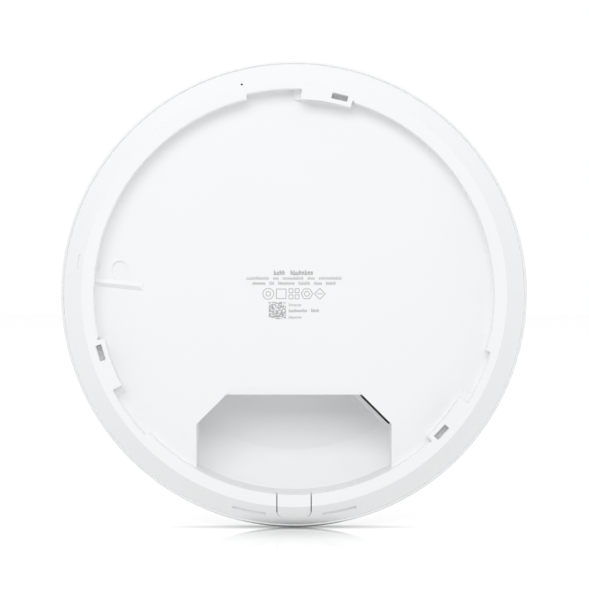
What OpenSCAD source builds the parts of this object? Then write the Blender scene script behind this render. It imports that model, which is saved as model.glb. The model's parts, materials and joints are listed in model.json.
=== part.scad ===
// Ceiling access point: a shallow white dome that hangs on a bayonet bracket.
// It stands on its edge here: -Y is the side that faces the ceiling, +Y is the dome,
// +Z points away from the cable exit. The origin is the centre of the ceiling face.
// Every module below is drawn in a flat layout: x to the right and y up, as seen from
// the ceiling side, and z is the depth below the ceiling face. Angles run from +x to +y.

/* [Body] */
// Largest diameter, on the front cover
body_d = 206; // [204:0.5:208]
// Height from the ceiling face to the top of the dome
body_h = 46; // [45:0.5:48]
// Outer radius of the flat rim that meets the ceiling
rim_r = 93.1; // [92.6:0.1:93.6]
// Outer radius of the bevel, at the seam with the front cover
seam_r = 101.5; // [101.2:0.1:101.7]
// Depth of the bevel's outer edge
bevel_depth = 7; // [6.5:0.1:7.5]
// Wall thickness of the rear housing
wall = 2; // [1.8:0.1:2.2]
// Wall thickness of the front cover
cover_wall = 2.2; // [1.8:0.1:2.4]

/* [Bracket recess] */
// Radius of the recess that takes the bracket
recess_r = 87.8; // [87.5:0.1:88.1]
// Depth of the recess
recess_depth = 6.5; // [6:0.1:7]
// Inner radius of the bayonet tabs
tab_r = 85.3; // [85.2:0.1:85.8]
// Thickness of the bayonet tabs
tab_t = 1.5; // [1.2:0.1:1.8]
// Outer radius of the bayonet notches
notch_r = 89.9; // [89.5:0.1:90.2]
// Angle across one notch
notch_angle = 15.8; // [15:0.1:16.5]
// Angle across one tab
tab_angle = 14.6; // [14:0.1:15.5]

/* [Cable bay] */
// Half width of the bay
bay_half_w = 42.9; // [42:0.1:43.5]
// Distance from the centre to the bay's straight edge
bay_top = 44.5; // [44:0.1:45.3]
// Size of the bay's 45 degree corners
bay_corner = 13; // [12.5:0.1:13.5]
// Depth of the bay's flat floor
bay_depth = 35; // [34:0.5:35.5]

/* [Cable exit] */
// Width of the cable exit
exit_w = 15; // [14:0.2:16]
// Outer radius that the exit reaches on the bevel
exit_r = 98.2; // [97.8:0.1:98.6]
// Width of the slits beside the exit's cover
slit_w = 0.45; // [0.3:0.05:0.6]

/* [Network jack] */
// Width of the jack
jack_w = 17; // [16:0.5:17.5]
// Height of the jack
jack_h = 13.4; // [13:0.1:13.6]
// Length of the jack
jack_l = 21; // [20:0.5:22]

/* [Electronics] */
// Depth of the main board
board_depth = 23; // [22.8:0.1:23.2]
// Radius of the main board
board_r = 86; // [84:0.5:87]
// Outer radius of the fan's blades
fan_r = 19.8; // [18:0.1:20]

/* [Front light] */
// Outer radius of the light ring
light_r = 23.9; // [23:0.1:24.5]
// Width of the light ring
light_w = 1.6; // [1.2:0.1:2]

/* [Hidden] */
$fn = 96;
far = 130;       // reaches past the body, for cutting shapes
gap = 0.1;       // clearance between pieces that are assembled loose

// Rim and bevel
body_r = body_d / 2;
bevel_slope = bevel_depth / (seam_r - rim_r);
plate_back = recess_depth + wall;          // inner face of the recess plate
seam_step = 0.6;                          // height of the housing's edge at the seam
seam_v = [0.5, 0.4];                       // width and depth of the groove along the seam
tongue_r = 99.2;                           // outer radius of the tongue inside the cover
tongue_t = 1.6;
tongue_end = 12.5;

// Dome: a wide shallow crown, then a rounder shoulder that meets it without a step
crown_r = 60;                              // where the crown meets the shoulder
crown_drop = 2.5;                          // how far the crown falls by there
edge_depth = 9.5;                          // depth of the widest edge
crown_sphere = (crown_r * crown_r + crown_drop * crown_drop) / (2 * crown_drop);
crown_end = [crown_r, body_h - crown_drop];
crown_lean = asin(crown_r / crown_sphere);
shoulder_span = [body_r, edge_depth] - crown_end;
shoulder_out = [sin(crown_lean), cos(crown_lean)];
shoulder_r = -(shoulder_span * shoulder_span) / (2 * shoulder_span * shoulder_out);
shoulder_c = crown_end - shoulder_r * shoulder_out;

// Bayonet: three notches 120 degrees apart, each with a tab beside it
notch_starts = [for (i = [0:2]) 87.8 + 120 * i];
ledge_depth = 4.1;                         // top of the low ledge under each tab
ledge_lead = 2.3;                          // angle that its ramp runs past the tab
tab_slot = [7.1, 2.7];                     // slot through each tab
tab_slot_r = 88.4;
tab_slot_floor = recess_depth - 0.4;       // the slot goes on into the ledge
tab_slot_angle = 3.7;                      // from the tab's far end to the slot's middle

// Cable bay
bay_wall = 1.6;
bay_step = 0.15;                           // below the rim the bay's outer wall stands back by this much
bay_floor_r = 70.9;                        // the floor is flat inside this radius
bay_curve_c = shoulder_c;                  // and then follows the shoulder
bay_curve_r = norm([bay_floor_r, bay_depth] - bay_curve_c);
bay_lead = 3.5;                            // width of the shallow lead-in above the bay
bay_lead_drop = 0.5;

// Cable exit
slit_end = 95.6;                           // the slits stop here and the joint closes up
exit_gap = 0.1;

// Blind grooves in the bevel: two long ones beside the cable exit and a short one on the left.
// Their floors are flat, so that they are deepest on the rim side.
long_groove_r = 97.4;
long_groove_w = 1.4;
long_groove_floor = 4.8;
long_groove_angles = [[254.2, 262.3], [277.8, 286]];
short_groove_r = 95.4;
short_groove_w = 1;
short_groove_floor = 2.6;
short_groove_angles = [169.9, 173.5];

// Recess details
dimple_angle = 171.8;
dimple_half = 1;                           // half the angle of the dimple at the recess wall
dimple_w = 1.2;
dimple_sink = 0.35;
rib_angle = 176.5;
rib_turn = -2.6;
rib_l = 21.6;
rib_w = 3.6;
rib_h = 1.7;
pocket_r = 3.5;
pocket_at = 77.6;

// Network jack, on the bay's right-hand 45 degree side. In its own axes x runs out into the
// bay, y along that side of the bay, and z is the depth.
jack_mid = [bay_half_w - bay_corner / 2, -bay_top - bay_corner / 2];
jack_front = 0.9;                          // how far it stands into the bay
contact_pitch = 1.02;
skirt_out = 3.1;                           // how far the skirt under it stands out
jack_top = board_depth - jack_h - 0.1;

// Electronics
board_t = 1.6;
board_front = board_depth + board_t;
spacer_h = 3;
antenna_depth = board_front + spacer_h;
antenna_t = 1;
antenna_front = antenna_depth + antenna_t;
boss_r = 3.5;
boss_at = 76;
boss_angles = [35, 90, 145, 215, 325];
screw_r = 1.2;
chip_t = 1.2;
pad_t = 0.8;
sink_base = 2.5;
sink_box = [[-18, -10], [55, 40]];
sink_top = 11.5;
fin_t = 1.4;
fin_count = 10;
capacitor_at = [[-58.5, -27], [-67.5, -25], [-75, -20]];
// Chips under the heat sink as x, y and side; the first is the processor
chips = [[18, 18, 19], [-4, 30, 12], [36, 30, 12], [42, 6, 12]];
antenna_angles = [10, 62, 118, 170];

// Fan
fan_at = [-46, 8];
fan_side = 50;
fan_top = 11.5;
fan_end = 21.5;
fan_cover_t = 1;
fan_bore = 22;
shaft_r = 1;
shaft_gap = 0.03;
blade_count = 15;

// Reset button, in line with its pinhole
reset_angle = 104;
reset_r = 94.6;
reset_top = 6.2;
reset_l = 1.7;
reset_pin_r = 1.1;
reset_travel = 0.3;
pinhole_r = 0.5;

// ---------------------------------------------------------------- helpers

// Turns the flat layout to the standing part: depth becomes +Y and y becomes +Z.
module place() rotate([90, 0, 0]) mirror([0, 0, 1]) children();

function polar(r, a) = r * [cos(a), sin(a)];

// Points of an arc about c, both ends included
function arc(c, r, a0, a1, n) = [for (i = [0:n]) c + polar(r, a0 + (a1 - a0) * i / n)];

function heading(v) = atan2(v[1], v[0]);

// Radius at which the dome's surface, set in by t, meets a depth on the shoulder
function dome_r(depth, t) =
    shoulder_c[0] + sqrt(pow(shoulder_r - t, 2) - pow(depth - shoulder_c[1], 2));

// The dome's outline set in by t, from radius r0 down to the given depth on the shoulder
function dome_outline(r0, t, depth) =
    let (c = [0, body_h - crown_sphere], r = crown_sphere - t)
    let (a0 = acos(r0 / r), a1 = 90 - crown_lean)
    let (end = [dome_r(depth, t), depth] - shoulder_c)
    concat(
        arc(c, r, a0, a1, 8),
        [for (i = [1:30]) shoulder_c + polar(shoulder_r - t, a1 + (heading(end) - a1) * i / 30)]
    );

function reversed(list) = [for (i = [len(list) - 1:-1:0]) list[i]];

// A ring between two radii and two depths
module ring(r0, r1, z0, z1) rotate_extrude() translate([r0, z0]) square([r1 - r0, z1 - z0]);

module at_angle(a, r) rotate([0, 0, a]) translate([r, 0, 0]) children();

module slab(z0, z1) translate([0, 0, z0]) linear_extrude(z1 - z0) children();

module box_at(at, size, z0, z1) slab(z0, z1) translate(at) square(size, center = true);

// Outline of a ring sector whose two outer corners are rounded
function round_sector(r0, r1, a0, a1, rc) =
    let (lean = asin(rc / (r1 - rc)))
    concat(
        [polar(r0, a1), polar(r0, a0)],
        arc(polar(r1 - rc, a0 + lean), rc, a0 - 90, a0 + lean, 5),
        arc([0, 0], r1, a0 + 1.3 * lean, a1 - 1.3 * lean, 10),
        arc(polar(r1 - rc, a1 - lean), rc, a1 - lean, a1 + 90, 5)
    );

// Outline of a slot with round ends that runs along an arc
function arc_slot(r, w, a0, a1) = concat(
    arc([0, 0], r + w / 2, a0, a1, 8),
    [for (a = [30:30:150]) polar(r, a1) + polar(w / 2, a1 + a)],
    arc([0, 0], r - w / 2, a1, a0, 8),
    [for (a = [30:30:150]) polar(r, a0) + polar(w / 2, a0 + 180 + a)]
);

// The bay's outline, grown by g, open towards the rim
module bay_outline(g) {
    side = bay_half_w + g;
    top = -bay_top + g;
    slack = g * tan(22.5);
    half_top = bay_half_w - bay_corner + slack;
    corner = -bay_top - bay_corner + slack;
    polygon([
        [-side, -far], [side, -far], [side, corner], [half_top, top], [-half_top, top], [-side, corner]
    ]);
}

// Everything inside the bay's curved floor, grown by g
module bay_depth_limit(g) rotate_extrude() intersection() {
    union() {
        translate(bay_curve_c) circle(bay_curve_r + max(g, 0));
        translate([0, -10]) square([bay_floor_r - 9, far]);
    }
    translate([0, -5]) square([recess_r + g, bay_depth + 5 + max(g, 0)]);
}

module bay_solid(g, z0) intersection() {
    slab(z0, bay_depth + 5) bay_outline(max(g, 0));
    bay_depth_limit(g);
}

// The cable exit's outline in plan
module exit_outline(half) {
    rc = 2.9;
    polygon(concat(
        [[-half, -tab_r + 2], [-half, -exit_r + rc]],
        arc([-half + rc, -exit_r + rc], rc, 180, 270, 8),
        arc([half - rc, -exit_r + rc], rc, 270, 360, 8),
        [[half, -tab_r + 2]]
    ));
}

module exit_slits() for (s = [-1, 1])
    slab(-1, plate_back) translate([s * exit_w / 2 - slit_w / 2, -slit_end]) square([slit_w, 12]);

// The jack's own axes, with z the depth
module jack_frame() translate([jack_mid[0], jack_mid[1], 0]) rotate([0, 0, 225]) children();

module fan_frame() translate([fan_at[0], fan_at[1], 0]) children();

module reset_frame() at_angle(reset_angle, reset_r) children();

module screw(head_r, head_z0, head_h, shank_r, shank_z0) {
    head_end = head_z0 + head_h;
    difference() {
        slab(head_z0, head_end) circle(head_r);
        for (a = [0, 90]) rotate([0, 0, a]) box_at([0, 0], [head_r, 0.6], head_end - 0.7, head_end + 1);
    }
    slab(shank_z0, head_z0) circle(shank_r);
}

// ---------------------------------------------------------------- rear housing

module rim_section() {
    skin = wall * [-bevel_slope, 1] / norm([bevel_slope, 1]);
    inner = [rim_r, 0] + skin;                          // a point on the bevel's inner surface
    tongue_in = tongue_r - tongue_t;
    corner = inner[0] + (wall - inner[1]) / bevel_slope;
    polygon([
        [0, 0], [rim_r, 0], [seam_r, bevel_depth], [seam_r, bevel_depth + seam_step],
        [tongue_r, bevel_depth + seam_step], [tongue_r, tongue_end], [tongue_in, tongue_end],
        [tongue_in, inner[1] + (tongue_in - inner[0]) * bevel_slope], [corner, wall],
        [recess_r + 3.5, wall], [recess_r + 3.5, plate_back], [0, plate_back]
    ]);
}

// The recess in plan, with its notches and a small relief beside each tab
module notched_plan() {
    circle(recess_r);
    for (a = notch_starts) {
        polygon(round_sector(tab_r - 6, notch_r, a, a + notch_angle, 0.8));
        translate(polar(recess_r - 0.1, a - tab_angle - 0.3)) circle(0.7);
    }
}

// Sectors over the tabs, running on past their notch side by an angle
module sectors(r0, r1, lead) for (a = notch_starts) {
    from = a - tab_angle;
    to = a + lead;
    polygon(concat([polar(r0, to), polar(r0, from)], arc([0, 0], r1, from, to, 8)));
}

module recess_cut() {
    // past the tabs at the ceiling face, and past the ledges next to the plate
    for (z = [[-1, tab_t], [ledge_depth, recess_depth]]) slab(z[0], z[1]) {
        difference() {
            notched_plan();
            sectors(tab_r - 6, recess_r + 0.4, 0.15);
        }
        circle(tab_r);
    }
    // between them the lugs of the bracket turn under the tabs
    slab(tab_t, ledge_depth) {
        notched_plan();
        intersection() {
            circle(notch_r);
            sectors(tab_r - 6, far, 0.35);
        }
    }
}

// Ramp at the start of each ledge, where a lug of the bracket rides up
module ledge_ramps() for (a = notch_starts) {
    lead = tab_r * ledge_lead * PI / 180;
    rotate([0, 0, a]) translate([tab_r + 0.2, 0, 0]) rotate([90, 0, 90])
        linear_extrude(notch_r - tab_r + 0.6) polygon([
            [-1, ledge_depth + 0.05], [lead * 0.2, ledge_depth + 0.05], [lead, recess_depth - 0.4],
            [lead, recess_depth + 0.4], [-1, recess_depth + 0.4]
        ]);
}

module tab_slots() for (a = notch_starts)
    at_angle(a - tab_angle + tab_slot_angle, tab_slot_r) slab(-1, tab_slot_floor)
        square([tab_slot[1], tab_slot[0]], center = true);

module bevel_grooves() {
    for (a = long_groove_angles)
        slab(-1, long_groove_floor) polygon(arc_slot(long_groove_r, long_groove_w, a[0], a[1]));
    slab(-1, short_groove_floor)
        polygon(arc_slot(short_groove_r, short_groove_w, short_groove_angles[0], short_groove_angles[1]));
}

// A small dimple at the foot of the recess wall, and a shallow round pocket beside it
module recess_dimples() {
    slab(recess_depth - 1, recess_depth + dimple_sink) polygon(arc_slot(
        recess_r - 0.9, dimple_w, dimple_angle - dimple_half, dimple_angle + dimple_half
    ));
    at_angle(dimple_angle, pocket_at) slab(recess_depth - 1, recess_depth + 0.6) circle(pocket_r);
}

// Triangular rib across the recess, with a slanted tip
module recess_rib() at_angle(rib_angle, recess_r) rotate([0, 0, rib_turn]) difference() {
    half = rib_w / 2;
    translate([1, 0, recess_depth]) rotate([90, 0, -90]) linear_extrude(rib_l + 1)
        polygon([[-half, 0.5], [-half, 0], [0, -rib_h], [half, 0], [half, 0.5]]);
    translate([-rib_l, 0, recess_depth]) rotate([0, -50, 0])
        translate([-10, -5, -10]) cube([10, 10, 20]);
}

// Shallow ramp down to the bay's straight edge
module bay_lead_cut() intersection() {
    half = bay_half_w - bay_corner;
    half_in = half - 0.9 * bay_lead;
    slab(0, plate_back + 1) polygon([
        [-half_in, -bay_top + bay_lead], [half_in, -bay_top + bay_lead],
        [half, -bay_top], [half, -bay_top - 2], [-half, -bay_top - 2], [-half, -bay_top]
    ]);
    translate([0, -bay_top + bay_lead, recess_depth]) rotate([atan(-bay_lead_drop / bay_lead), 0, 0])
        translate([-50, -20, -10]) cube([100, 20, 10]);
}

// The rim and bevel as a solid ring, down to a depth
module rim_envelope(depth) rotate_extrude()
    polygon([[recess_r, 0], [rim_r, 0], [seam_r, bevel_depth], [seam_r, depth], [recess_r, depth]]);

// Block around the channel that leads a cable from the bay out under the exit's cover
module exit_channel() intersection() {
    slab(1, plate_back + bay_wall) translate([-exit_w / 2 - 1.8, 0.3 - exit_r])
        square([exit_w + 3.6, exit_r - recess_r + 1.2]);
    rim_envelope(far);
}

module exit_cut() {
    slab(-1, plate_back) exit_outline(exit_w / 2 + exit_gap);
    exit_slits();
}

// Skirt under the jack that slopes out to the bay's floor, with a small foot
module jack_skirt() intersection() {
    jack_frame() translate([0, 13, 0]) rotate([90, 0, 0]) linear_extrude(26) polygon([
        [-1, board_depth + gap], [jack_front, board_depth + gap], [skirt_out - 0.9, bay_depth - 1.3],
        [skirt_out, bay_depth - 0.4], [skirt_out, bay_depth + 0.3], [-1, bay_depth + 0.3]
    ]);
    bay_solid(0.5, 0);
}

module jack_window() jack_frame()
    translate([-bay_wall - 2, 0, 0]) box_at([0, 0], [8, jack_w + 0.4], plate_back, board_depth + 0.1);

module bosses() for (a = boss_angles) at_angle(a, boss_at) difference() {
    slab(plate_back - 0.5, board_depth) circle(boss_r);
    slab(plate_back + 2, board_depth + 1) circle(screw_r + 0.05);
}

module rear_housing() color("white") place() {
    difference() {
        union() {
            rotate_extrude() rim_section();
            bay_solid(bay_wall, recess_depth + 0.5);
            exit_channel();
        }
        recess_cut();
        bay_solid(bay_step, recess_depth - 0.5);
        bay_lead_cut();
        tab_slots();
        bevel_grooves();
        recess_dimples();
        exit_cut();
        jack_window();
        reset_frame() slab(-1, 8) circle(pinhole_r);
    }
    ledge_ramps();
    recess_rib();
    jack_skirt();
    bosses();
}

// ---------------------------------------------------------------- covers

module front_cover() color("white") place() rotate_extrude() {
    lip_r = seam_r + 0.06;
    bore = tongue_r + 0.2;
    seat = bevel_depth + seam_step + 0.2;
    polygon(concat(
        dome_outline(light_r + gap, 0, edge_depth),
        [
            [body_r - 0.1, 8.3], [body_r - 0.5, 7.4], [lip_r + seam_v[0], bevel_depth],
            [lip_r, bevel_depth + seam_v[1]], [lip_r, seat], [bore, seat]
        ],
        reversed(dome_outline(light_r + gap, cover_wall, tongue_end + 0.5))
    ));
}

function crown_depth(r) = body_h - crown_sphere + sqrt(pow(crown_sphere, 2) - r * r);

module centre_cap() color("white") place() {
    r = light_r - light_w - 0.05;
    rotate_extrude() polygon(concat(
        [[0, 43.95], [r, 43.95]],
        [for (i = [6:-1:0]) [r * i / 6, crown_depth(r * i / 6)]]
    ));
}

module light_ring() color("aliceblue") place() {
    top = crown_depth(light_r) - 0.05;
    inner = light_r - light_w;
    rotate_extrude() polygon([
        [inner - 1.3, 42.2], [26.5, 42.2], [26.5, 43.2], [light_r, 43.2], [light_r, top],
        [inner, top], [inner, 43.9], [inner - 1.3, 43.9]
    ]);
}

module light_carrier() color("dimgray") place() {
    foot = antenna_front + 1.5;
    rotate_extrude() polygon([
        [21, 36.5], [24.9, 36.5], [24.9, foot], [23.5, foot], [23.5, antenna_front],
        [27.5, antenna_front], [27.5, foot], [26.6, foot], [26.6, 41.9],
        [25.2, 41.9], [25.2, 37.7], [21, 37.7]
    ]);
}

module light_board() color("darkgreen") place() slab(37.7, 38.7) difference() {
    circle(25);
    circle(14);
}

module status_leds() color("ivory") place() for (i = [0:7])
    at_angle(45 * i + 22.5, light_r - light_w / 2) box_at([0, 0], [1.2, 2], 38.7, 39.5);

// The exit's cover: follows the rim and bevel, with side skirts that fit the channel
module cable_exit_tab() color("white") place() {
    skirt_end = plate_back - 0.7;
    hollow = [[-5.4, -exit_r + 4.6], [5.4, -recess_r - 1.4]];
    difference() {
        intersection() {
            slab(0, skirt_end) exit_outline(exit_w / 2 - exit_gap);
            rim_envelope(plate_back);
        }
        exit_slits();
        slab(wall, plate_back) translate(hollow[0]) square(hollow[1] - hollow[0]);
    }
}

// ---------------------------------------------------------------- boards and heat path

module board_plan(r, clear) difference() {
    circle(r);
    bay_outline(clear);
}

module screw_holes(z0, z1, r) for (a = boss_angles) at_angle(a, boss_at) slab(z0, z1) circle(r);

module main_board() color("darkgreen") place() difference() {
    slab(board_depth, board_front) board_plan(board_r, bay_wall + 0.6);
    screw_holes(board_depth - 1, board_front + 1, 1.6);
}

module chip(c, top) box_at([c[0], c[1]], [c[2], c[2]], top, board_depth);

module processor() color("dimgray") place() chip(chips[0], board_depth - chip_t);

module radio_chips() color("dimgray") place() for (i = [1:3]) chip(chips[i], board_depth - chip_t);

module memory_chips() color("black") place() for (y = [-4, 6])
    box_at([-6, y], [12, 8], board_depth - 1, board_depth);

module thermal_pads() color("lightsteelblue") place() for (c = chips)
    box_at([c[0], c[1]], [c[2] - 1, c[2] - 1], board_depth - chip_t - pad_t, board_depth - chip_t);

module heat_sink() color("silver") place() {
    size = sink_box[1] - sink_box[0];
    mid = (sink_box[0] + sink_box[1]) / 2;
    base_end = board_depth - chip_t - pad_t;
    pitch = (size[1] - fin_t) / (fin_count - 1);
    first = sink_box[0][1] + fin_t / 2;
    box_at(mid, size, base_end - sink_base, base_end);
    for (i = [0:fin_count - 1])
        box_at([mid[0], first + pitch * i], [size[0], fin_t], sink_top, base_end - sink_base + 0.1);
}

module power_inductors() color("gray") place() for (x = [-48, -35, -22])
    box_at([x, -31], [10, 10], board_depth - 5, board_depth);

module power_capacitors() color("midnightblue") place() for (p = capacitor_at)
    translate([p[0], p[1], 0]) slab(board_depth - 10, board_depth) circle(4);

module power_transformer() color("goldenrod") place() {
    box_at([-2, -30], [15, 13], board_depth - 3, board_depth);
    box_at([-2, -30], [9, 13], board_depth - 10, board_depth - 3);
    box_at([-2, -30], [15, 13], board_depth - 11.5, board_depth - 10);
}

module lan_transformer() color("black") place()
    box_at([20, -28], [15, 17], board_depth - 5.5, board_depth);

module board_shields() color("silver") place()
    for (s = [[-42, 26, 34, 24], [10, 52, 40, 22], [10, 6, 30, 22], [52, 8, 24, 40]])
        difference() {
            box_at([s[0], s[1]], [s[2], s[3]], board_front, board_front + 2);
            box_at([s[0], s[1]], [s[2] - 0.8, s[3] - 0.8], board_front - 1, board_front + 1.6);
        }

module board_spacers() color("goldenrod") place() for (a = boss_angles)
    at_angle(a, boss_at) difference() {
        slab(board_front, antenna_depth) circle(3, $fn = 6);
        slab(board_front - 1, antenna_depth + 1) circle(1.5);
    }

module board_screws() color("silver") place() for (a = boss_angles) at_angle(a, boss_at)
    screw(2.75, antenna_front, 1.6, screw_r, 13);

// ---------------------------------------------------------------- network jack

module ethernet_jack() color("black") place() jack_frame() difference() {
    box_at([jack_front - jack_l / 2, 0], [jack_l, jack_w], jack_top, board_depth);
    box_at([jack_front - 6, 0], [14, 11.9], jack_top + 3.9, board_depth - 1.6);
    box_at([jack_front - 5, 0], [12, 6.4], jack_top + 2.2, jack_top + 5);
    box_at([jack_front - 4, 0], [10, 3.8], jack_top + 1.2, jack_top + 5);
}

module jack_contacts() color("gold") place() jack_frame() for (i = [0:7])
    translate([jack_front - 12.9, (i - 3.5) * contact_pitch - 0.2, board_depth - 2.2])
        rotate([0, 12, 0]) cube([8, 0.4, 0.4]);

// ---------------------------------------------------------------- fan

module fan_plan() square(fan_side, center = true);

module fan_corners() for (x = [-21.5, 21.5], y = [-21.5, 21.5]) translate([x, y, 0]) children();

module fan_housing() color("black") place() fan_frame() {
    difference() {
        slab(fan_top + fan_cover_t, fan_end) fan_plan();
        slab(fan_top, fan_end - 1) circle(fan_bore);
        box_at([20, -10], [12.2, 22], fan_top, fan_end - 1);
        fan_corners() slab(fan_top, fan_end - 2) circle(1.05);
    }
    // tube that holds the bearing
    ring(2.5, 3, 15, fan_end - 0.5);
    // feet on the board
    for (x = [-20, 20], y = [-20, 20]) translate([x, y, 0]) slab(fan_end - 0.1, board_depth) circle(2);
}

module fan_cover() color("dimgray") place() fan_frame() difference() {
    slab(fan_top, fan_top + fan_cover_t) fan_plan();
    slab(fan_top - 1, fan_end) circle(13);
    fan_corners() slab(fan_top - 1, fan_end) circle(1.15);
}

module fan_screws() color("silver") place() fan_frame() fan_corners() {
    slab(fan_top - 1, fan_top) circle(1.9);
    slab(fan_top, fan_end - 3) circle(1);
}

module fan_bearing() color("goldenrod") place() fan_frame()
    ring(shaft_r + shaft_gap, 2.45, 15, fan_end - 1);

module fan_stator() color("peru") place() fan_frame() difference() {
    union() {
        slab(15.2, 18.4) circle(4.2);
        for (i = [0:3]) rotate([0, 0, 90 * i + 45]) {
            box_at([4.6, 0], [3.6, 2.4], 15.8, 17.8);
            box_at([6.6, 0], [0.8, 4], 15.2, 18.4);
        }
    }
    slab(15, 19) circle(3.05);
}

module fan_rotor() color("dimgray") place() fan_frame() {
    top = fan_top + fan_cover_t + 0.5;
    disc = fan_end - 1.7;
    hub_end = top + 1.6;
    rotate_extrude() polygon([
        [0, top], [10, top], [10, disc - 0.8], [fan_r, disc - 0.8], [fan_r, disc], [8.8, disc],
        [8.8, top + 1], [2, top + 1], [2, hub_end], [shaft_r, hub_end], [shaft_r, top + 1], [0, top + 1]
    ]);
    for (i = [0:blade_count - 1]) rotate([0, 0, 360 / blade_count * i])
        translate([15.2, 0, 0]) rotate([0, 0, 35]) box_at([0, 0], [7.6, 0.7], top + 0.3, disc - 0.7);
}

module fan_shaft() color("silver") place() fan_frame()
    slab(fan_top + fan_cover_t + 1.5, fan_end - 1.2) circle(shaft_r);

module fan_magnet() color("black") place() fan_frame() ring(7.6, 8.78, 14.4, 18.6);

// ---------------------------------------------------------------- antennas

module antenna_plate() color("silver") place() difference() {
    slab(antenna_depth, antenna_front) board_plan(82, bay_wall + 0.6);
    screw_holes(antenna_depth - 1, antenna_front + 1, 1.6);
}

// A folded sheet: a foot on the plate, an upright and a long arm
module bent_antenna(arm, arm_w, h) {
    t = 0.5;
    slab(antenna_front, antenna_front + t) translate([0, -arm_w / 2]) square([6, arm_w]);
    slab(antenna_front, antenna_front + h) translate([0, -arm_w / 2]) square([t, arm_w]);
    translate([-arm_w, -arm / 2, antenna_front + h - t]) cube([arm_w + t, arm, t]);
}

module antennas_2g() color("gold") place() for (a = antenna_angles)
    at_angle(a, 64) bent_antenna(30, 6, 7.5);

module antennas_5g() color("gold") place() for (a = [-18, 37, 143, 198])
    at_angle(a, 50) bent_antenna(15, 5, 6.5);

module antennas_6g() color("gold") place() for (a = antenna_angles) at_angle(a, 38) {
    slab(antenna_front, antenna_front + 4) circle(1.5);
    box_at([0, 0], [13, 13], antenna_front + 4, antenna_front + 5);
}

// ---------------------------------------------------------------- reset

module reset_board() color("darkgreen") place() reset_frame()
    box_at([-6.9, 0], [17.2, 9], plate_back + gap, plate_back + 1.1);

module reset_header() color("black") place() reset_frame() {
    box_at([-13, 0], [2.4, 7.6], plate_back + 1.1, plate_back + 3.6);
    for (i = [-1:1]) box_at([-13, 2.54 * i], [0.64, 0.64], plate_back + 3.5, board_depth);
}

module reset_switch() color("dimgray") place() reset_frame() difference() {
    box_at([-0.25, 0], [3.9, 4.4], 7, plate_back + gap);
    slab(6, reset_top + reset_l + reset_travel + gap) circle(reset_pin_r + gap);
}

module reset_button() color("black") place() reset_frame()
    slab(reset_top, reset_top + reset_l) circle(reset_pin_r);

// ---------------------------------------------------------------- nodes

rear_housing();
front_cover();
centre_cap();
light_ring();
cable_exit_tab();
light_carrier();
light_board();
status_leds();
main_board();
processor();
radio_chips();
memory_chips();
thermal_pads();
heat_sink();
power_inductors();
power_capacitors();
power_transformer();
lan_transformer();
board_shields();
ethernet_jack();
jack_contacts();
fan_housing();
fan_cover();
fan_bearing();
fan_stator();
fan_screws();
fan_rotor();
fan_shaft();
fan_magnet();
antenna_plate();
antennas_2g();
antennas_5g();
antennas_6g();
reset_board();
reset_header();
reset_switch();
reset_button();
board_spacers();
board_screws();
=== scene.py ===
"""Looks of the ceiling access point: materials, printed marks, floor, light and camera."""
import json
import math
import random

import bmesh
import bpy
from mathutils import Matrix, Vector


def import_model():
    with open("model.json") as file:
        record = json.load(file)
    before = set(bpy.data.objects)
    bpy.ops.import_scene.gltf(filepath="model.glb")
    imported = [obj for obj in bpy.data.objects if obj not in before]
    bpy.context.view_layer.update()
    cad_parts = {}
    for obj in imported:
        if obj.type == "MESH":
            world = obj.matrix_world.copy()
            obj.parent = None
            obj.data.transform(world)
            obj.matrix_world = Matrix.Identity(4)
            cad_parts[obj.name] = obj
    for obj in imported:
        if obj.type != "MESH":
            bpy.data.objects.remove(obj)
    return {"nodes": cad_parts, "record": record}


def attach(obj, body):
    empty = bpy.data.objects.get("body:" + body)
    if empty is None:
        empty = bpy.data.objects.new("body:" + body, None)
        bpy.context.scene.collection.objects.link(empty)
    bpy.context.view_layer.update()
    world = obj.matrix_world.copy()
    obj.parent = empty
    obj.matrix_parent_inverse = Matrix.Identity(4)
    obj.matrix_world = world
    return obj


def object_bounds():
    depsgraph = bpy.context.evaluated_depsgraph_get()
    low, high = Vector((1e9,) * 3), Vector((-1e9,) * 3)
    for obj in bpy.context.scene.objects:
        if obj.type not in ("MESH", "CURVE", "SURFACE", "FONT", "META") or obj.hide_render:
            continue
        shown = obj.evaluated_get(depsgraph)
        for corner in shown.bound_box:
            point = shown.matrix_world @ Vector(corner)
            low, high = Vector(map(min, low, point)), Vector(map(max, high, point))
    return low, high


MM = 0.001

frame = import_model()
cad_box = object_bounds()
nodes = frame["nodes"]
slots = {row["node"]: row["material_slot"] for row in frame["record"]["subparts"]}

body_low, body_high = cad_box
body_r = (body_high.x - body_low.x) / 2
floor_z = body_low.z


# ---------------------------------------------------------------- shader helpers

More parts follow.
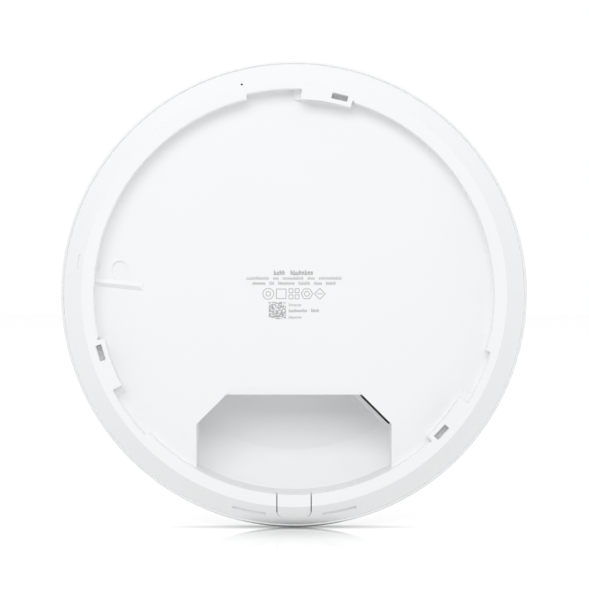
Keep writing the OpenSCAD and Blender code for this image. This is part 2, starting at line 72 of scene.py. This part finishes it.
class Shader:
    """A node material with one Principled shader, fed from object coordinates."""

    def __init__(self, name):
        self.material = bpy.data.materials.new(name)
        self.material.use_nodes = True
        self.tree = self.material.node_tree
        self.principled = self.tree.nodes["Principled BSDF"]
        self.coordinates = self.add("ShaderNodeTexCoord").outputs["Object"]

    def add(self, kind, **values):
        node = self.tree.nodes.new(kind)
        for key, value in values.items():
            setattr(node, key, value)
        return node

    def link(self, out, into):
        self.tree.links.new(out, into)

    def set(self, **values):
        for key, value in values.items():
            self.principled.inputs[key.replace("_", " ")].default_value = value

    def stretched(self, scale):
        """Object coordinates scaled by a different amount on each axis."""
        mapping = self.add("ShaderNodeMapping")
        mapping.inputs["Scale"].default_value = scale
        self.link(self.coordinates, mapping.inputs["Vector"])
        return mapping.outputs["Vector"]

    def noise(self, size, detail=2.0, vector=None):
        """Noise whose features are about size across, in metres."""
        node = self.add("ShaderNodeTexNoise")
        node.inputs["Scale"].default_value = 1 / size
        node.inputs["Detail"].default_value = detail
        self.link(vector or self.coordinates, node.inputs["Vector"])
        return node.outputs["Fac"]

    def remap(self, value, low, high):
        """Spreads the middle of a noise value over low to high."""
        node = self.add("ShaderNodeMapRange")
        for key, number in (("From Min", 0.3), ("From Max", 0.7), ("To Min", low), ("To Max", high)):
            node.inputs[key].default_value = number
        self.link(value, node.inputs["Value"])
        return node.outputs["Result"]

    def blend(self, factor, first, second):
        node = self.add("ShaderNodeMix", data_type="RGBA")
        self.link(factor, node.inputs["Factor"])
        node.inputs["A"].default_value = (*first, 1)
        node.inputs["B"].default_value = (*second, 1)
        return node.outputs["Result"]

    def colour(self, out):
        self.link(out, self.principled.inputs["Base Color"])

    def roughness(self, out):
        self.link(out, self.principled.inputs["Roughness"])

    def bump(self, height, distance, strength=1.0):
        node = self.add("ShaderNodeBump")
        node.inputs["Distance"].default_value = distance
        node.inputs["Strength"].default_value = strength
        self.link(height, node.inputs["Height"])
        self.link(node.outputs["Normal"], self.principled.inputs["Normal"])


DRIFT_SIZE = 40 * MM                      # how wide a plastic's slow change of colour is
TRACE_PITCH = 2.5 * MM                    # about this far apart on a circuit board


def moulded(name, colour, drift, roughness, grain, depth):
    """Moulded plastic: an even colour with a faint drift, and a fine spark-eroded grain."""
    shader = Shader(name)
    other = tuple(c * (1 - drift) for c in colour)
    shader.colour(shader.blend(shader.remap(shader.noise(DRIFT_SIZE), 0, 1), colour, other))
    fine = shader.noise(grain, detail=3.0)
    shader.roughness(shader.remap(fine, roughness - 0.05, roughness + 0.05))
    shader.bump(fine, depth)
    return shader.material


def brushed(name, colour, roughness, grain, direction):
    """Metal with fine parallel scratches."""
    shader = Shader(name)
    shader.set(Metallic=1.0)
    streaks = shader.noise(grain, detail=4.0, vector=shader.stretched(direction))
    other = tuple(c * 0.86 for c in colour)
    shader.colour(shader.blend(shader.remap(streaks, 0, 1), colour, other))
    shader.roughness(shader.remap(streaks, roughness - 0.08, roughness + 0.08))
    shader.bump(streaks, 0.01 * MM)
    return shader.material


def circuit_board(name, mask, copper):
    """Solder mask over a web of traces, which stand a little proud."""
    shader = Shader(name)
    cells = shader.add("ShaderNodeTexVoronoi", feature="DISTANCE_TO_EDGE", distance="CHEBYCHEV")
    cells.inputs["Scale"].default_value = 1 / TRACE_PITCH
    shader.link(shader.coordinates, cells.inputs["Vector"])
    lines = shader.add("ShaderNodeMapRange")
    for key, number in (("From Min", 0.05), ("From Max", 0.12), ("To Min", 1.0), ("To Max", 0.0)):
        lines.inputs[key].default_value = number
    shader.link(cells.outputs["Distance"], lines.inputs["Value"])
    shader.colour(shader.blend(lines.outputs["Result"], mask, copper))
    shader.roughness(shader.remap(shader.noise(1.5 * MM), 0.28, 0.4))
    shader.bump(lines.outputs["Result"], 0.03 * MM)
    return shader.material


def winding(name, light, dark, pitch):
    """Enamelled wire wound side by side, its colour dark in the groove between turns and light on each
    crest: painted shade in the grooves.
    """
    shader = Shader(name)
    shader.set(Metallic=0.8)
    wave = shader.add("ShaderNodeTexWave", bands_direction="Z")
    wave.inputs["Scale"].default_value = 1 / pitch
    shader.link(shader.coordinates, wave.inputs["Vector"])
    # dark where the bump is low, between the turns: painted shade in the grooves
    shader.colour(shader.blend(wave.outputs["Fac"], dark, light))
    shader.roughness(shader.remap(shader.noise(1 * MM), 0.25, 0.4))
    shader.bump(wave.outputs["Fac"], 0.1 * MM)
    return shader.material


def light_guide():
    """Frosted, slightly blue translucent plastic."""
    shader = Shader("light_guide")
    cloud = shader.noise(6 * MM)
    shader.colour(shader.blend(shader.remap(cloud, 0, 1), (0.80, 0.86, 0.93), (0.86, 0.90, 0.95)))
    shader.set(Subsurface_Weight=0.4, Subsurface_Scale=1.5 * MM, IOR=1.49)
    shader.roughness(shader.remap(shader.noise(0.4 * MM), 0.25, 0.35))
    shader.bump(shader.noise(0.5 * MM), 0.01 * MM)
    return shader.material


WHITE = (0.875, 0.881, 0.888)

MATERIALS = {
    "white_housing": moulded("white_housing", WHITE, 0.006, 0.5, 0.35 * MM, 0.012 * MM),
    "white_cover": moulded("white_cover", WHITE, 0.004, 0.42, 0.28 * MM, 0.006 * MM),
    "light_guide": light_guide(),
    "grey_plastic": moulded("grey_plastic", (0.25, 0.26, 0.27), 0.08, 0.55, 0.4 * MM, 0.02 * MM),
    "black_plastic": moulded("black_plastic", (0.020, 0.020, 0.022), 0.15, 0.5, 0.4 * MM, 0.02 * MM),
    "board_green": circuit_board("board_green", (0.018, 0.11, 0.045), (0.05, 0.2, 0.07)),
    "chip_black": moulded("chip_black", (0.035, 0.035, 0.038), 0.2, 0.62, 0.2 * MM, 0.015 * MM),
    "led_lens": moulded("led_lens", (0.92, 0.86, 0.55), 0.1, 0.2, 0.6 * MM, 0.005 * MM),
    "pad_grey": moulded("pad_grey", (0.45, 0.52, 0.58), 0.06, 0.85, 0.6 * MM, 0.04 * MM),
    "aluminium": brushed("aluminium", (0.80, 0.81, 0.82), 0.35, 0.5 * MM, (0.05, 1, 1)),
    "ferrite": moulded("ferrite", (0.10, 0.10, 0.11), 0.25, 0.75, 0.5 * MM, 0.05 * MM),
    "capacitor_can": brushed("capacitor_can", (0.60, 0.62, 0.66), 0.3, 0.4 * MM, (1, 0.05, 1)),
    "transformer_tape": moulded("transformer_tape", (0.78, 0.52, 0.06), 0.1, 0.4, 2 * MM, 0.03 * MM),
    "tin_steel": brushed("tin_steel", (0.74, 0.73, 0.70), 0.28, 0.6 * MM, (1, 1, 0.08)),
    "gold_contact": brushed("gold_contact", (0.90, 0.66, 0.27), 0.25, 0.5 * MM, (0.1, 1, 1)),
    "bronze": brushed("bronze", (0.66, 0.46, 0.22), 0.35, 0.4 * MM, (1, 0.05, 1)),
    "copper_coil": winding("copper_coil", (0.80, 0.36, 0.14), (0.30, 0.10, 0.03), 0.35 * MM),
}


def dress_nodes():
    for name, obj in nodes.items():
        obj.data.materials.clear()
        obj.data.materials.append(MATERIALS[slots[name]])


# ---------------------------------------------------------------- printed marks

def ink_material():
    """Grey pad print: not quite solid, so the plastic's tone comes through in specks."""
    shader = Shader("grey_ink")
    speck = shader.remap(shader.noise(0.15 * MM, detail=3.0), 0, 1)
    shader.colour(shader.blend(speck, (0.36, 0.365, 0.37), (0.46, 0.465, 0.47)))
    shader.roughness(shader.remap(shader.noise(0.3 * MM), 0.5, 0.65))
    shader.bump(speck, 0.004 * MM)
    return shader.material


class Print:
    """Thin raised strokes on the recess plate. Across is +X and up is +Z, in millimetres."""

    SKIN = 0.03           # how far a stroke stands off the plate
    SINK = 0.05           # and how far it reaches into it

    def __init__(self, plate_y):
        self.mesh = bmesh.new()
        self.y = plate_y

    def prism(self, outline):
        """A closed thin solid with this outline, given anticlockwise as seen from -Y."""
        near = [self.mesh.verts.new((x * MM, self.y - self.SKIN * MM, z * MM)) for x, z in outline]
        back = [self.mesh.verts.new((x * MM, self.y + self.SINK * MM, z * MM)) for x, z in outline]
        self.mesh.faces.new(near)
        self.mesh.faces.new(list(reversed(back)))
        for i in range(len(outline)):
            j = (i + 1) % len(outline)
            self.mesh.faces.new((near[j], near[i], back[i], back[j]))

    def bar(self, x, z, width, height):
        """A rectangle from its lower left corner."""
        self.prism([(x, z), (x + width, z), (x + width, z + height), (x, z + height)])

    def stroke(self, start, end, width):
        side = Vector((start[1] - end[1], end[0] - start[0])).normalized() * width / 2
        self.prism([
            (start[0] - side.x, start[1] - side.y), (end[0] - side.x, end[1] - side.y),
            (end[0] + side.x, end[1] + side.y), (start[0] + side.x, start[1] + side.y),
        ])

    def outline(self, centre, radius, sides, width, turn=0.0):
        """A regular polygon, or with many sides a ring, drawn with strokes of one width."""
        corners = []
        for i in range(sides):
            angle = turn + 2 * math.pi * i / sides
            corners.append((centre[0] + radius * math.cos(angle), centre[1] + radius * math.sin(angle)))
        for i in range(sides):
            self.stroke(corners[i], corners[(i + 1) % sides], width)

    def piece(self, name):
        mesh = bpy.data.meshes.new(name)
        self.mesh.to_mesh(mesh)
        self.mesh.free()
        obj = bpy.data.objects.new(name, mesh)
        bpy.context.scene.collection.objects.link(obj)
        return obj


def tick_words(marks, rng, x0, x1, z, height, words, weight):
    """A line of words that can't be read: upright ticks of mixed height on one base line."""
    space = 1.1 * height
    share = (x1 - x0 - space * (len(words) - 1)) / sum(words)
    x = x0
    for letters in words:
        for i in range(letters):
            left = x + share * i
            tall = height * (1.0 if rng.random() < 0.35 else 0.72)
            marks.bar(left, z, weight, tall)
            marks.bar(left + share * 0.5, z, weight * 0.8, height * 0.68)
            marks.bar(left, z + rng.choice((0.0, 0.3, 0.55)) * height, share * 0.62, weight * 0.75)
        x += share * letters + space


SYMBOL_LINE = 0.3                         # width of the strokes
SQUARE_TURN = math.pi / 4                 # sets four sides level and upright
SMALL_SQUARE_AT = 1.35                    # offset of the four small squares from their middle
SMALL_SQUARE_R = 1.25


def symbol_row(marks, x0, x1, z, height):
    """Five plain shapes: ring, square, four small squares, hexagon and diamond."""
    pitch = (x1 - x0) / 5
    radius = height / 2
    line = SYMBOL_LINE
    centres = [(x0 + pitch * (i + 0.5), z) for i in range(5)]
    marks.outline(centres[0], radius * 0.92, 28, line)
    marks.outline(centres[0], radius * 0.4, 16, line)
    marks.outline(centres[1], radius * 1.15, 4, line, turn=SQUARE_TURN)
    for dx in (-1, 1):
        for dz in (-1, 1):
            small = (centres[2][0] + dx * SMALL_SQUARE_AT, z + dz * SMALL_SQUARE_AT)
            marks.outline(small, SMALL_SQUARE_R, 4, line, turn=SQUARE_TURN)
    marks.outline(centres[3], radius * 0.96, 6, line)
    marks.outline(centres[3], radius * 0.45, 6, line)
    marks.outline(centres[4], radius * 0.92, 4, line)
    marks.stroke((centres[4][0] - radius * 0.5, z), (centres[4][0] + radius * 0.5, z), line)


DOT_SHARE = 0.56


def dot_grid(marks, rng, x0, z1, side, count):
    """A square field of dots, about half of them filled, that encodes nothing."""
    cell = side / count
    dot = cell * 0.97                     # a hair apart, so that no two faces meet
    for row in range(count):
        for column in range(count):
            if rng.random() < DOT_SHARE:
                marks.bar(x0 + cell * column, z1 - cell * (row + 1), dot, dot)


# Lines of ticks, in millimetres: left end, right end, base line, height, ticks in each word, stroke.
UPPER_LINES = (
    (-8.9, 8.6, 8.4, 2.1, (4, 8), 0.42),
    (-20.9, 21.1, 6.3, 1.5, (12, 3, 11, 4, 12), 0.2),
    (-18.3, 18.5, 4.1, 1.5, (8, 3, 10, 7, 5, 6), 0.2),
)
LINES_BESIDE_DOTS = (
    (-2.3, 3.5, -5.4, 1.4, (5,), 0.24),
    (-2.3, 11.2, -8.0, 1.5, (9, 4), 0.26),
    (-2.3, 3.5, -10.8, 1.2, (6,), 0.24),
)


def plate_depth():
    """How far along +Y the recess plate lies, at the centre of the disc."""
    graph = bpy.context.evaluated_depsgraph_get()
    hit, place, *_ = bpy.context.scene.ray_cast(graph, Vector((0, -1, 0)), Vector((0, 1, 0)))
    if not hit:
        raise RuntimeError("nothing lies on the axis, so the print has no plate")
    return place.y


def printed_marks():
    rng = random.Random(7)
    marks = Print(plate_depth())
    for line in UPPER_LINES:
        tick_words(marks, rng, *line)
    symbol_row(marks, x0=-14.2, x1=14.2, z=0.1, height=5.2)
    dot_grid(marks, rng, x0=-11.1, z1=-3.5, side=7.5, count=18)
    for line in LINES_BESIDE_DOTS:
        tick_words(marks, rng, *line)
    piece = marks.piece("printed_marks")
    piece.data.materials.append(ink_material())
    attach(piece, "device")


# ---------------------------------------------------------------- floor, light and camera

TOUCH_Y = 9.5 * MM                        # the widest edge of the cover stands on the floor here
PAINTED_SHADOW_SIZE = (66 * MM, 8 * MM)            # half sizes of the painted contact shadow there
MIRROR_SIZE = (190 * MM, 120 * MM)        # and of the oval that mirrors the object
MIRROR_MOST = 0.62
MIRROR_ROUGHNESS = 0.07
FLOOR_TONE = (0.95, 0.95, 0.95)
# the floor darkens to this tone at the touch: a painted contact shadow
PAINTED_SHADOW_TONE = (0.40, 0.40, 0.40)
FLOOR_GLOW = 0.24                         # lifts the lit floor to the white behind it
FLOOR_REACH = 8.0
FLOOR_DROP = 0.05 * MM                    # keeps the floor clear of the lowest face
CARD_SIZE = (26 * MM, 6 * MM)             # half sizes of the shade card
CARD_DROP = 0.3 * MM
CARD_TONE = (0.05, 0.05, 0.05, 1)


def touch_gradient(shader, size):
    """One where the object touches the floor, falling to zero at the edge of an oval of this half size."""
    oval = shader.add("ShaderNodeMapping")
    oval.inputs["Scale"].default_value = (1 / size[0], 1 / size[1], 1)
    oval.inputs["Location"].default_value = (0, -TOUCH_Y / size[1], 0)
    shader.link(shader.coordinates, oval.inputs["Vector"])
    gradient = shader.add("ShaderNodeTexGradient", gradient_type="SPHERICAL")
    shader.link(oval.outputs["Vector"], gradient.inputs["Vector"])
    return gradient.outputs["Fac"]


def floor():
    """A wide white floor that mirrors the object where it stands, with a thin painted contact shadow at
    the touch.
    """
    mesh = bmesh.new()
    bmesh.ops.create_grid(mesh, x_segments=1, y_segments=1, size=FLOOR_REACH)
    data = bpy.data.meshes.new("floor")
    mesh.to_mesh(data)
    mesh.free()
    obj = bpy.data.objects.new("floor", data)
    obj.location.z = floor_z - FLOOR_DROP
    bpy.context.scene.collection.objects.link(obj)
    shader = Shader("floor")
    shader.set(Roughness=1.0, Specular_IOR_Level=0.0, Emission_Strength=FLOOR_GLOW)
    # painted contact shadow: the floor's colour, glow and mirror tint fall to the shadow tone at the touch
    tone = shader.blend(touch_gradient(shader, PAINTED_SHADOW_SIZE), FLOOR_TONE, PAINTED_SHADOW_TONE)
    shader.colour(tone)
    shader.link(tone, shader.principled.inputs["Emission Color"])
    mirror = shader.add("ShaderNodeBsdfGlossy")
    mirror.inputs["Roughness"].default_value = MIRROR_ROUGHNESS
    shader.link(tone, mirror.inputs["Color"])
    share = shader.add("ShaderNodeMath", operation="MULTIPLY")
    share.inputs[1].default_value = MIRROR_MOST
    shader.link(touch_gradient(shader, MIRROR_SIZE), share.inputs[0])
    both = shader.add("ShaderNodeMixShader")
    shader.link(share.outputs["Value"], both.inputs["Fac"])
    shader.link(shader.principled.outputs["BSDF"], both.inputs[1])
    shader.link(mirror.outputs["BSDF"], both.inputs[2])
    shader.link(both.outputs["Shader"], shader.tree.nodes["Material Output"].inputs["Surface"])
    data.materials.append(shader.material)
    obj.visible_diffuse = False
    obj.visible_shadow = False


def shade_card():
    """A dark oval just under the floor, unseen itself, that keeps light off the lowest part of the rim."""
    mesh = bmesh.new()
    bmesh.ops.create_circle(mesh, cap_ends=True, segments=48, radius=1.0)
    bmesh.ops.scale(mesh, vec=(*CARD_SIZE, 1), verts=mesh.verts)
    data = bpy.data.meshes.new("shade_card")
    mesh.to_mesh(data)
    mesh.free()
    obj = bpy.data.objects.new("shade_card", data)
    obj.location = (0, TOUCH_Y, floor_z - CARD_DROP)
    bpy.context.scene.collection.objects.link(obj)
    shader = Shader("shade_card")
    shader.set(Base_Color=CARD_TONE, Roughness=1.0)
    data.materials.append(shader.material)
    obj.visible_camera = False
    obj.visible_glossy = False


# Light from the half of the sky on the ceiling side: the same from everywhere, plus more towards
# each of these sides. On the dome's side it falls off towards left and right, and from below.
SKY_EVEN = 0.11
SKY_TOWARDS = (("X", -1, 0.79), ("X", 1, 0.94), ("Z", -1, 0.71), ("Z", 1, 0.31))
SKY_DOME_SIDE = 1.02
SKY_DOME_FALL = 0.4
SKY_BELOW = 0.55
# Where each change starts and ends, as a part of the direction's length along one axis.
SIDEWAYS_SPAN = (0.25, 1.0)               # X, left or right
BELOW_SPAN = (-0.6, 0.0)                  # Z, from below to level
DOME_SPAN = (-0.15, 0.15)                 # Y, from the ceiling side to the dome's side


def world():
    """White to the camera; as light, a soft sky that is brightest at the sides."""
    made = bpy.data.worlds.new("studio")
    bpy.context.scene.world = made
    made.use_nodes = True
    tree = made.node_tree
    background = tree.nodes["Background"]
    background.inputs["Color"].default_value = (1, 1, 1, 1)
    direction = tree.nodes.new("ShaderNodeTexCoord").outputs["Generated"]
    parts = tree.nodes.new("ShaderNodeSeparateXYZ")
    tree.links.new(direction, parts.inputs["Vector"])

    def put(value, socket):
        if isinstance(value, (int, float)):
            socket.default_value = value
        else:
            tree.links.new(value, socket)

    def math_node(operation, first, second):
        node = tree.nodes.new("ShaderNodeMath")
        node.operation = operation
        put(first, node.inputs[0])
        put(second, node.inputs[1])
        return node.outputs["Value"]

    def mix(factor, first, second):
        node = tree.nodes.new("ShaderNodeMix")
        put(factor, node.inputs["Factor"])
        put(first, node.inputs["A"])
        put(second, node.inputs["B"])
        return node.outputs["Result"]

    def ramp(value, span, first, last):
        node = tree.nodes.new("ShaderNodeMapRange")
        node.interpolation_type = "SMOOTHSTEP"
        put(value, node.inputs["Value"])
        for key, number in zip(("From Min", "From Max", "To Min", "To Max"), (*span, first, last)):
            node.inputs[key].default_value = number
        return node.outputs["Result"]

    level = SKY_EVEN
    for axis, sign, strength in SKY_TOWARDS:
        side = math_node("MAXIMUM", math_node("MULTIPLY", parts.outputs[axis], sign), 0)
        level = math_node("ADD", math_node("MULTIPLY", side, strength), level)

    sideways = math_node("ABSOLUTE", parts.outputs["X"], 0)
    dome = math_node(
        "MULTIPLY",
        ramp(sideways, SIDEWAYS_SPAN, SKY_DOME_SIDE, SKY_DOME_SIDE - SKY_DOME_FALL),
        ramp(parts.outputs["Z"], BELOW_SPAN, SKY_BELOW, 1.0),
    )
    light = mix(ramp(parts.outputs["Y"], DOME_SPAN, 0, 1), level, dome)
    seen = tree.nodes.new("ShaderNodeLightPath").outputs["Is Camera Ray"]
    put(mix(seen, light, 1.0), background.inputs["Strength"])


KEY_DISTANCE = 2.2
KEY_ELEVATION = math.radians(32)
KEY_AZIMUTH = math.radians(-10)
KEY_SIZE = (2.2, 1.2)
KEY_POWER = 24


def key_light():
    """A long soft box above the camera and a little to its left."""
    data = bpy.data.lights.new("key", "AREA")
    data.shape = "RECTANGLE"
    data.size, data.size_y = KEY_SIZE
    data.energy = KEY_POWER
    obj = bpy.data.objects.new("key", data)
    level = math.cos(KEY_ELEVATION)
    across = level * math.sin(KEY_AZIMUTH)
    towards = -level * math.cos(KEY_AZIMUTH)
    place = KEY_DISTANCE * Vector((across, towards, math.sin(KEY_ELEVATION)))
    obj.location = place
    obj.rotation_euler = (-place).to_track_quat("-Z", "Y").to_euler()
    bpy.context.scene.collection.objects.link(obj)


CAMERA_DISTANCE = 0.75
CAMERA_SENSOR = 36.0
CAMERA_OFF_CENTRE = 0.2 * MM              # right of the disc's axis, and as far below it
DISC_SHARE = 0.7902                       # share of the picture's width that the disc fills


def camera():
    """Square on to the ceiling face, level with the centre of the disc."""
    width_there = 2 * body_r / DISC_SHARE
    data = bpy.data.cameras.new("camera")
    data.sensor_width = CAMERA_SENSOR
    data.lens = CAMERA_SENSOR * (CAMERA_DISTANCE + TOUCH_Y) / width_there
    data.clip_start = 0.01
    obj = bpy.data.objects.new("camera", data)
    obj.location = (CAMERA_OFF_CENTRE, -CAMERA_DISTANCE, -CAMERA_OFF_CENTRE)
    obj.rotation_euler = (math.radians(90), 0, 0)
    bpy.context.scene.collection.objects.link(obj)
    bpy.context.scene.camera = obj


camera()
dress_nodes()
printed_marks()
floor()
shade_card()
world()
key_light()
bpy.context.scene.view_settings.view_transform = "Standard"
